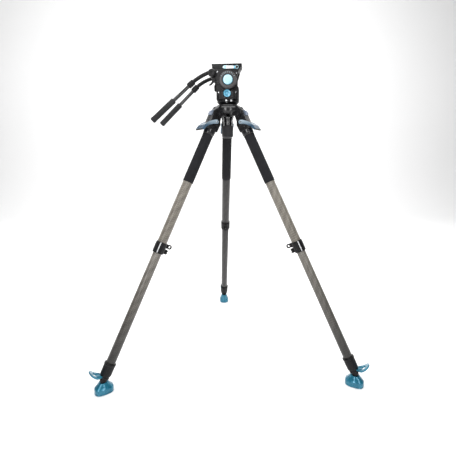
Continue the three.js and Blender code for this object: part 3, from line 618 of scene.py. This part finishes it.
for n, az in LEGS.items():
    L = leg_m(az)
    add(f"clamp_reflection_strip_{n}", reflection_strip, ["satin"], f"leg_{n}", slot="steel", M4=L)
    add(f"pivot_bolt_{n}", pin, ["bolt"], "root", f"hinge_pin_{n}", slot="steel", M4=L)
    add(f"shoulder_{n}", sh, ["cast"], f"leg_{n}", f"leg_shoulder_{n}", slot="cast", M4=L)
    add(f"pull_tab_{n}", tab, ["tab"], f"tab_{n}", f"angle_tab_{n}", slot="steelblue", M4=L)
    add(f"lift_lever_{n}", lev, ["lever", "black", "steel"], f"lever_{n}", f"height_lever_{n}", slot="steelblue", M4=L)
    add(f"carbon_upper_{n}", upper, ["carbon_back_shaded" if n == "back" else "carbon_up"], f"leg_{n}", f"upper_tube_{n}", slot="carbon", M4=L)
    add(f"foam_sleeve_{n}", grip, ["legfoam"], f"leg_{n}", f"leg_grip_{n}", slot="foam", M4=L)
    add(f"clamp_mid_{n}", mcol, ["black"], f"leg_{n}", f"mid_collar_{n}", slot="black", M4=L)
    add(f"carbon_middle_{n}", middle, ["carbon_back_shaded" if n == "back" else "carbon_mid"], f"middle_{n}", f"middle_tube_{n}", slot="carbon", M4=L)
    add(f"clamp_low_{n}", lcol, ["black"], f"middle_{n}", f"lower_collar_{n}", slot="black", M4=L)
    add(f"carbon_lower_{n}", low, ["carbon_low", "black"], f"lower_{n}", f"lower_tube_{n}", slot="carbon", M4=L)
    add(f"step_pedal_{n}", ped, ["blue", "black"], f"lower_{n}", f"foot_pedal_{n}", slot="blue", M4=L)
    add(f"ankle_boot_{n}", boot, ["rubber"], f"lower_{n}", slot="rubber", M4=L)
    add(f"ground_pad_{n}", padm, ["blue"], f"pad_{n}", f"foot_pad_{n}", slot="blue", M4=L @ PADM)

# ---------------------------------------------------------- ball and its clamp
ball = lathe([(0, RIM_Z - 32.4)] + [(32.4 * math.cos(math.radians(a)), RIM_Z + 32.4 * math.sin(math.radians(a))) for a in range(-86, 0, 4)] + [(32.4, RIM_Z), (32.1, RIM_Z + 0.6), (0, RIM_Z + 0.6)], 96)
add("half_ball", ball, ["cast"], "ball", "level_ball", slot="cast", M4=STAND)
stem = lathe([(0, 786), (4.6, 786), (5, 786.4)] + [(5 - 0.35 * (i % 2), 787 + i * 0.75) for i in range(60)] + [(5, 833), (5, 850.8), (0, 851.2)], 32)
add("threaded_stem", stem, ["steel"], "ball", "clamp_stem", slot="steel", M4=STAND)
kp = fil([(0, 778), (15.2, 778), (17.8, 781), (17.8, 812.6), (16.4, 816), (15.6, 816.8), (15.2, 818.5), (15.2, 834), (16.6, 838), (17.5, 840.5), (17.5, 845), (16.2, 846.6), (9, 846.6), (9, 850.6), (0, 850.6)], 1.0, 4, closed=False)
kp2 = []
for a, b in zip(kp, kp[1:]):
    kp2.append(a)
    if abs(a[0] - b[0]) < 0.3 and abs(b[1] - a[1]) > 6:
        st = int(abs(b[1] - a[1]) / 3)
        kp2 += [(a[0] + (b[0] - a[0]) * k / st, a[1] + (b[1] - a[1]) * k / st) for k in range(1, st)]
kp2.append(kp[-1])
knob = lathe(kp2, 144, mod=lambda i, a, z, r: -0.9 * max(0.0, math.cos(12 * a)) ** 4 if (784 < z < 810 and r > 17) else 0.0)
knob = cut(knob, lathe([(0, 785.6), (5.4, 785.6), (5.4, 860), (0, 860)], 40))
paint(knob, lambda c: c.z > 816.2, 1)
add("tie_down_handle", knob, ["rubber", "gloss"], "knob", "clamp_knob", slot="rubber", M4=STAND)

# ---------------------------------------------------------------------- head
pb = lathe(fil([(0, 885), (27, 885), (29, 886.5), (36.2, 893), (37, 895), (37, 898.6), (36, 899.6), (0, 899.6)], 0.8, 3, closed=False), 120,
           mod=lambda i, a, z, r: -0.7 * max(0.0, math.cos(30 * a)) ** 2 if (893.5 < z < 899 and r > 36.5) else 0.0)
add("pan_base_ring", pb, ["black"], "ball", "pan_base", slot="black", M4=HEAD)

hp = prism(fil([(-35.5, 900, 2), (35.5, 900, 2), (37.6, 902.5), (37.6, 941, 3)] + arc(TX, TZ, 30.2, -22, 200, 48) + [(-37.6, 950, 3), (-37.6, 902.5)], 1), -24, 24)
hp = bevel(hp, 1.6, 3, 50)
skirt = bevel(prism(rrect(-37.6, 37.6, -33.5, 33.5, 14, 10), 900, 929, "XY"), 1.8, 3, 50)
hp = union(hp, skirt)
hp = cut(hp, moved(rod(7.3, -45, 45, 0.1), T((TX, 0, TZ)), AY),
         bevel(prism(fil([(-15.2, 906.5), (15.2, 906.5), (15.2, 933), (-15.2, 933)], 2.5), -40, -30.8), 0.6, 2, 50),
         moved(rod(5.3, -60, -30, 0.1), T((0, 0, 944)), AX))
# parting lines and screws on the housing's sides and ends
hp = cut(hp, *[prism([(x - 0.5, 903), (x + 0.5, 903), (x + 0.5, 927), (x - 0.5, 927)], s * 33.5 - 0.8, s * 33.5 + 0.8) for x in (-22, 22) for s in (-1, 1)])
for x in (-28.5, 28.5):
    hp = union(hp, moved(screw(2.3, 0.9, 0.7), T((x, -33.5, 923)), AYN), moved(screw(2.3, 0.9, 0.7), T((x, 33.5, 923)), AY))
paint(hp, lambda c: abs(abs(c.x) - 28.5) < 2.4 and abs(c.y) > 33.6, 1)
add("pan_housing_shell", hp, ["black", "steel"], "pan", "pan_housing", slot="black", M4=HEAD, angle=30)
# stand-off bosses under the dial, in the recess
fin = combine(*[bevel(prism(fil([(x - 4.6, 907.2), (x + 4.6, 907.2), (x + 4.6, 909.6), (x - 4.6, 909.6)], 0.8), -34.3, -30.4), 0.3, 2, 50) for x in (-7, 7)])
add("recess_contacts", fin, ["bolt"], "pan", slot="steel", M4=HEAD)
edges = combine(*[bevel(prism([(x - 0.7, 906), (x + 0.7, 906), (x + 0.7, 933), (x - 0.7, 933)], -34.1, -33.2), 0.3, 2, 50) for x in (-16.6, 16.6)])
add("recess_edges", edges, ["bolt"], "pan", slot="steel", M4=HEAD)
# three screw heads on the pan base; their bright satin finish is painted reflection, placed where glints show
facets = []
for x, z, r0, r1, rr in ((-3, 896.2, 35.6, 37.9, 3.5), (14, 896.2, 35.4, 37.9, 3.5), (-2, 892.4, 31.0, 34.4, 2.3)):
    a = math.asin(x / r1)
    facets.append(moved(lathe(fil([(0, r0), (rr, r0), (rr, r1 - 0.2), (rr - 0.8, r1), (rr * 0.45, r1), (rr * 0.4, r1 - 0.7), (0, r1 - 0.7)], 0.2, 2, closed=False), 32), T((0, 0, z)), Matrix.Rotation(a, 4, "Z"), AYN))
add("base_glint_screws", combine(*facets), ["satin"], "ball", slot="steel", M4=HEAD)

dl = lathe([(0, 22), (4, 22), (4, 31.6), (10.4, 31.6), (11.8, 32.0), (12.3, 32.8), (12.3, 35.0), (11.9, 35.9), (11.0, 36.5), (8.6, 36.5), (8.1, 36.3), (7.7, 35.7), (7.0, 35.5), (6.4, 35.5), (5.0, 35.2), (4.4, 35.5), (4.0, 35.9), (0, 36.1)], 96,
           mod=lambda i, a, z, r: -0.45 * max(0.0, math.cos(24 * a)) ** 2 if (32.6 < z < 35.4 and r > 12) else 0.0)
paint(dl, lambda c: 4.1 < math.hypot(c.x, c.y) < 7.7 and c.z > 33, 1)
add("drag_dial_blue", moved(dl, T((0, 0, 920.2)), AYN), ["sky", "teal"], "pan_dial", "pan_drag_dial", slot="sky", M4=HEAD)

pk = lathe(fil([(0, -46.5), (9.4, -46.5), (12.0, -44.8), (12.2, -43.8), (12.2, -39.6), (10.5, -38), (5, -38), (5, -31), (0, -31)], 0.7, 3, closed=False), 96,
           mod=lambda i, a, z, r: -1.0 * max(0.0, math.cos(8 * a)) ** 2 if (-45.5 < z < -38.5 and r > 11) else 0.0)
add("pan_lock_wheel", moved(pk, T((0, 0, 944)), AX), ["black"], "pan_knob", "pan_lock_knob", slot="black", M4=HEAD)
add("tilt_shaft", moved(rod(7, -33, 33, 0.4), T((TX, 0, TZ)), AY), ["steel"], "pan", "tilt_axle", slot="steel", M4=HEAD)

cheek = fil(arc(TX, TZ, 28.6, 215, 325, 24) + [(34, 978, 4), (37, 988, 4), (39.5, 997.5, 1), (-47, 997.5, 1), (-52, 994, 2), (-58, 989, 3), (-58, 977, 4), (-50, 968, 4), (-47, 959, 3), (-34, 956.5, 4), (-22, 946.5, 2)], 1.5)
ck = union(bevel(prism(cheek, -34, -24.6), 1.3, 3, 50), bevel(prism(cheek, 24.6, 34), 1.3, 3, 50),
           bevel(prism(fil([(-47, 993.4), (38, 993.4), (39.5, 996), (41, 1001), (-50, 1001), (-52, 994)], 1.0), -30.4, 30.4), 0.8, 2, 50))
ck = cut(ck, moved(rod(7.3, -45, 45, 0.1), T((TX, 0, TZ)), AY), moved(rod(5.3, -60, 60, 0.1), T((-50, 0, 984.5)), AY))
for x, z in ((31, 985), (-33, 990), (-37, 968)):
    for s in (AYN, AY):
        if (x, z) == (-37, 968) and s is AYN:
            continue
        ck = union(ck, moved(screw(2.4, 1.1, 0.8), T((x, 0, z)), s, T((0, 0, 33.9))))
paint(ck, lambda c: abs(c.y) > 34.1, 1)
add("tilt_side_plates", ck, ["grey", "steel"], "tilt", "tilt_yoke", slot="grey", M4=HEAD, angle=30)

dd = lathe([(7.5, 34.4), (27.5, 34.4), (28.5, 35.2), (28.8, 36.4), (28.8, 37.6), (28.2, 38.2), (28.2, 38.9), (28.8, 39.5), (28.8, 42.2), (28.4, 43.2), (27.4, 43.9), (25.6, 44.5), (20.4, 44.6), (19.2, 44.4), (18.0, 43.6), (17.4, 42.4), (7.5, 42.4)], 144, ring=True,
           mod=lambda i, a, z, r: -0.5 * max(0.0, math.cos(48 * a)) ** 2 if (39.3 < z < 42.8 and r > 28) else 0.0)
bd = union(lathe([(0, 42.6), (16.9, 42.6), (16.9, 43.4), (16.3, 44.2), (15.6, 44.4), (15.2, 44.7), (14.6, 45), (9.0, 45), (8.7, 44.7), (8.3, 44.7), (8.0, 45), (0, 45)], 96), rod(6.9, 33.4, 43.4, 0.2))
ticks = []
for i in range(-4, 5):
    a = math.radians(90 + i * 15)
    tm = prism([(-0.35, 21.6), (0.35, 21.6), (0.35, 25.2), (-0.35, 25.2)], 44.3, 44.85, "XY")
    ticks.append(moved(tm, Matrix.Rotation(math.radians(i * 15), 4, "Z")))
tk = combine(*ticks)
add("drag_ring_near", moved(dd, T((TX, 0, TZ)), AYN), ["disc"], "tilt_dial", "tilt_drag_dial", slot="grey", M4=HEAD)
add("drag_ring_marks", moved(tk, T((TX, 0, TZ)), AYN), ["pale"], "tilt_dial", slot="pale", M4=HEAD)
# the dial cap is blue; its pale top face is painted reflection
paint(bd, lambda c: math.hypot(c.x, c.y) > 15.3 or c.z < 42, 1)
add("dial_centre", moved(bd, T((TX, 0, TZ)), AYN), ["pale", "blue"], "tilt_dial", "dial_badge", slot="pale", M4=HEAD)
bal = union(dd, lathe(fil([(0, 41), (17.2, 41), (17.2, 43.2), (15.5, 44), (0, 44)], 0.4, 3, closed=False), 96))
add("balance_wheel_far", moved(bal, T((TX, 0, TZ)), AY), ["disc"], "balance", "balance_dial", slot="grey", M4=HEAD)

tl = union(moved(rod(5.5, 34.4, 40, 0.6), T((-41, 0, 964)), AYN),
           bevel(prism(fil([(-44.5, 967.5), (-37.5, 961), (-51, 947), (-58.5, 943.5), (-60.5, 947), (-54, 952.5)], 1.8), -40, -35.4), 0.9, 3, 40))
add("tilt_lock", tl, ["black"], "tilt_lever", "tilt_lock_lever", slot="black", M4=HEAD)

bed = bevel(prism(fil([(-49, 1001.3), (40.5, 1001.3), (43, 1003), (43, 1006.1), (-51, 1006.1), (-51, 1003)], 0.6), -30, 30), 0.6, 2, 50)
rl = fil([(24.6, 1005.5), (30, 1005.5), (30, 1009.4), (28.4, 1011.2), (25.6, 1011.2), (24.6, 1010.2)], 0.5)
for s in (1, -1):
    r = prism([(y * s, z) for y, z in rl], -51, 43)
    r.transform(Matrix(((0, -1, 0, 0), (1, 0, 0, 0), (0, 0, 1, 0), (0, 0, 0, 1))) @ Matrix())
    # the outline was drawn across the clamp: turn it so it runs along it
    r.transform(Matrix.Scale(-1, 4, (1, 0, 0))); r.flip_normals()
    bed = union(bed, r)
bed = cut(bed, moved(rod(2.7, 20, 40, 0.1), T((32, 0, 1003.6)), AYN))
add("plate_bed", bed, ["black"], "tilt", "plate_clamp", slot="black", M4=HEAD, angle=30)

pt = bevel(prism(rrect(-53, 48, -27, 27, 4, 5), 1012, 1017.6, "XY"), 0.9, 3, 50)
pf = prism(rrect(-52, 47, -24.2, 24.2, 2, 3), 1006.4, 1012.5, "XY")
pt = union(pt, pf)
pt = cut(pt, prism(rrect(-22, 26, -4, 4, 3.95, 8), 1000, 1030, "XY"), prism(rrect(-24, 28, -8.4, 8.4, 8.3, 8), 1000, 1011, "XY"),
         *[prism(rrect(x - 0.6, x + 0.6, -23, 23, 0.5, 2), 1017, 1019, "XY") for x in (-48, -43, -38, -33, -28, 32, 37, 42)])
add("slide_plate", pt, ["black"], "plate", "camera_plate", slot="black", M4=HEAD, angle=30)
cs = lathe([(0, 1006.7), (7.4, 1006.7), (7.8, 1007.1), (7.8, 1010.3), (7.4, 1010.7), (3.1, 1010.7)] + [(3.1 - 0.3 * (i % 2), 1010.8 + 0.55 * i) for i in range(1, 11)] + [(2.6, 1017), (0, 1017)], 40)
add("quarter_inch_screw", moved(cs, T((2, 0, 0))), ["steel"], "screw", "camera_screw", slot="steel", M4=HEAD)
LZP = 1003.6
def part(me, i):
    for p in me.polygons:
        p.material_index = i
    return me


# the white long arm of the plate lever is painted highlight on the blue lever
lev_a = part(bevel(prism(fil([(-3.4, LZP + 6.0, 1), (-6, LZP + 6.2, 3), (-13, LZP + 4.5, 3), (-15, LZP, 3), (-12.6, LZP - 3.8, 3), (-6, LZP - 5, 3), (-3.4, LZP - 5.0, 1)], 1), -36.6, -31), 1.0, 3, 40), 0)
lev_b = part(bevel(prism(fil([(-3.4, LZP + 5.8), (8, LZP + 5.0, 4), (22, LZP + 4.4), (22, LZP - 4.2), (8, LZP - 4.6, 4), (-3.4, LZP - 4.8)], 0.6), -36.1, -31), 0.7, 3, 40), 3)
lev_c = part(lathe(fil([(4.4, 31), (5.6, 31), (5.6, 35.9), (4.9, 36.6), (4.4, 36.4)], 0.3, 2), 48, ring=True), 0)
lev_d = part(cut(rod(4.4, 31, 36.2, 0.3), prism([(1.7 * math.cos(math.pi / 3 * k), 1.7 * math.sin(math.pi / 3 * k)) for k in range(6)], 35.0, 37, "XY")), 2)
lev_t = part(moved(rod(2.4, 24, 32, 0.1), T((32, 0, LZP)), AYN), 2)
neck = part(bevel(prism([(21, LZP + 4.6), (28, LZP + 4.6), (28, LZP - 4.6), (21, LZP - 4.6)], -35.6, -31), 0.5, 2, 40), 1)
pl = combine(lev_a, lev_b, neck, lev_t, moved(combine(lev_c, lev_d), T((32, 0, LZP)), AYN))
add("plate_lever", pl, ["pale", "sky", "gloss", "highlight_white"], "plate_lever", "plate_lock_lever", slot="steelblue", M4=HEAD)

# ------------------------------------------------------------------- handles
def sweep(P, r, seg=32):
    bm = bmesh.new(); bm.loops.layers.uv.new("weave")
    rows = []
    up = Vector((0, 1, 0))
    for i, p in enumerate(P):
        d = (P[min(i + 1, len(P) - 1)] - P[max(i - 1, 0)]).normalized()
        x = up.cross(d).normalized(); y = d.cross(x)
        rows.append([bm.verts.new(p + r * (x * math.cos(2 * math.pi * k / seg) + y * math.sin(2 * math.pi * k / seg))) for k in range(seg)])
    for A, B in zip(rows, rows[1:]):
        for k in range(seg):
            j = (k + 1) % seg
            bm.faces.new([A[k], A[j], B[j], B[k]])
    bm.faces.new(list(reversed(rows[0]))); bm.faces.new(rows[-1])
    bmesh.ops.recalc_face_normals(bm, faces=bm.faces)
    me = bpy.data.meshes.new("m"); bm.to_mesh(me); bm.free()
    return me


for s, n in ((-1, "near"), (1, "far")):
    B = [(-50, 41.2, 984.5), (-58, 41.3, 986), (-72, 40.2, 981.5), (-86, 38.8, 975), (-99, 38.4, 967.5), (-110.5, 38.8, 959.5), (-120.5, 39.5, 950.5)]
    P = [Vector((x, s * y, z)) for x, y, z in B]
    last = P[-1]
    d = (Vector((-248, s * 57, 831)) - last).normalized()
    P.append(last + d * 8)
    S = []
    for i in range(len(P) - 1):
        p0, p1, p2, p3 = P[max(i - 1, 0)], P[i], P[i + 1], P[min(i + 2, len(P) - 1)]
        for k in range(7):
            t = k / 7
            S.append(0.5 * ((2 * p1) + (p2 - p0) * t + (2 * p0 - 5 * p1 + 4 * p2 - p3) * t * t + (3 * p1 - p0 - 3 * p2 + p3) * t ** 3))
    S.append(P[-1])
    AXM = T(last) @ Vector((0, 0, 1)).rotation_difference(d).to_matrix().to_4x4()
    arm = sweep(S, 6.5)
    hubm = lathe(fil([(0, 34.5), (12.4, 34.5), (13, 35.4), (13, 38.6), (12.3, 39.2), (12.3, 40.2), (13, 40.8), (13, 45.6), (11, 48.2), (5, 48.2), (4.6, 47.2), (0, 47.2)], 0.4, 3, closed=False), 96,
                 mod=lambda i, a, z, r: -0.6 * max(0.0, math.cos(20 * a)) ** 2 if (35 < z < 39 and r > 12.5) else 0.0)
    hubm = moved(union(hubm, rod(5, 26, 36, 0.2)), T((-50, 0, 984.5)), AY if s > 0 else AYN)
    cl = lathe(fil([(3, -13), (7.6, -13), (9.2, -11.6), (9.8, -10), (9.8, -6), (9.3, -5.5), (9.3, -4.6), (9.8, -4), (9.8, 9.6), (8.8, 11.8), (3, 11.8)], 0.5, 3), 96, ring=True,
               mod=lambda i, a, z, r: -0.7 * max(0.0, math.cos(12 * a)) ** 2 if (-4.2 < z < 9.8 and r > 9.5) else 0.0)
    arm = cut(union(arm, hubm, moved(cl, AXM)), moved(rod(6.3, 0, 30, 0.1), AXM))
    add(f"curved_arm_{n}", arm, ["black"], f"arm_{n}", f"handle_arm_{n}", slot="black", M4=HEAD, angle=30)
    tb = lathe(fil([(4.8, 0.2), (6.2, 0.2), (6.2, 176), (4.8, 176)], 0.3, 2), 48, ring=True)
    add(f"slide_tube_{n}", moved(tb, AXM), ["gloss"], f"arm_{n}", f"handle_tube_{n}", slot="black", M4=HEAD)
    gp = [(6.35, 78), (8.0, 78), (9.2, 78.8), (9.9, 80.4), (10.1, 82)] + [(10.2 - (0.0 if k % 4 in (1, 2) else 0.75), 82 + 86 * k / 80) for k in range(1, 80)] + [(10.0, 168.5), (10.3, 170), (10.3, 174), (9.8, 176.6), (8.6, 178.2), (6.6, 178.6), (0, 178.6), (0, 176.5), (6.35, 176.5)]
    gr = lathe(gp, 96, ring=True)
    paint(gr, lambda c: c.z > 169.2 or c.z < 81, 1)
    add(f"foam_grip_{n}", moved(gr, AXM), ["foam", "rubber"], f"grip_{n}", f"handle_grip_{n}", slot="foam", M4=HEAD, angle=40)

# --------------------------------------------------------------------- stage
bm = bmesh.new()
W = 9.0
prof = [(-6.0, 0.0), (2.6, 0.0)] + [(2.6 + 1.4 * math.sin(math.radians(a)), 1.4 - 1.4 * math.cos(math.radians(a))) for a in range(10, 91, 10)] + [(4.0, 7.0)]
rows = [[bm.verts.new((x, y, z - 0.0004)) for x in (-W, W)] for y, z in prof]
for A, B in zip(rows, rows[1:]):
    bm.faces.new([A[0], A[1], B[1], B[0]])
fme = bpy.data.meshes.new("floor"); bm.to_mesh(fme); bm.free()
fme.shade_smooth()
floor = bpy.data.objects.new("floor", fme)
bpy.context.scene.collection.objects.link(floor)
fm, fnt, fb = nodes_of("floor_paper")
nz = N(fnt, "ShaderNodeTexNoise", Scale=3.0, Detail=2.0)
fnt.links.new(ramp(fnt, nz.outputs["Fac"], [(0.3, (0.90, 0.90, 0.90)), (0.7, (0.93, 0.93, 0.93))]), fb.inputs["Base Color"])
fb.inputs["Roughness"].default_value = 0.9
fb.inputs["Specular IOR Level"].default_value = 0.1
fme.materials.append(fm)

world = bpy.data.worlds.new("studio"); bpy.context.scene.world = world
world.use_nodes = True
world.node_tree.nodes["Background"].inputs[0].default_value = (1, 1, 1, 1)
world.node_tree.nodes["Background"].inputs[1].default_value = 0.20


def area(name, loc, target, size, power):
    l = bpy.data.lights.new(name, "AREA"); l.shape = "RECTANGLE"; l.size, l.size_y = size; l.energy = power
    o = bpy.data.objects.new(name, l); bpy.context.scene.collection.objects.link(o)
    o.location = loc
    o.rotation_euler = (Vector(target) - Vector(loc)).to_track_quat("-Z", "Y").to_euler()
    return o


area("key_left", (-1.1, -2.5, 1.5), (0, 0, 0.5), (0.45, 1.9), 34)
area("key_right", (0.9, -2.6, 1.4), (0, 0, 0.5), (0.35, 1.9), 24)
area("rim_left", (-1.8, 0.7, 1.4), (0, 0, 0.6), (0.3, 1.8), 10)
area("rim_right", (1.8, 0.7, 1.4), (0, 0, 0.6), (0.3, 1.8), 10)
area("top", (0, -0.2, 3.0), (0, 0.2, 0.4), (3.4, 3.0), 92)
area("backdrop_wash", (0, 0.6, 3.2), (0, 3.6, 1.6), (5.0, 1.2), 130)

psi, D, pitch = 0.044, 1.2181, 0.11414
cam = bpy.data.cameras.new("cam"); cam.sensor_width = 36.0; cam.lens = 345.7 / 456 * 36
cam.shift_y = -28.0 / 456
co = bpy.data.objects.new("cam", cam); bpy.context.scene.collection.objects.link(co)
co.location = (-D * math.sin(psi), SHIFT_Y * 0.001 - D * math.cos(psi), 0.698)
vd = Vector((math.sin(psi) * math.cos(pitch), math.cos(psi) * math.cos(pitch), -math.sin(pitch)))
co.rotation_euler = vd.to_track_quat("-Z", "Y").to_euler()
cam.clip_end = 50
bpy.context.scene.camera = co
bpy.context.scene.view_settings.view_transform = "Standard"
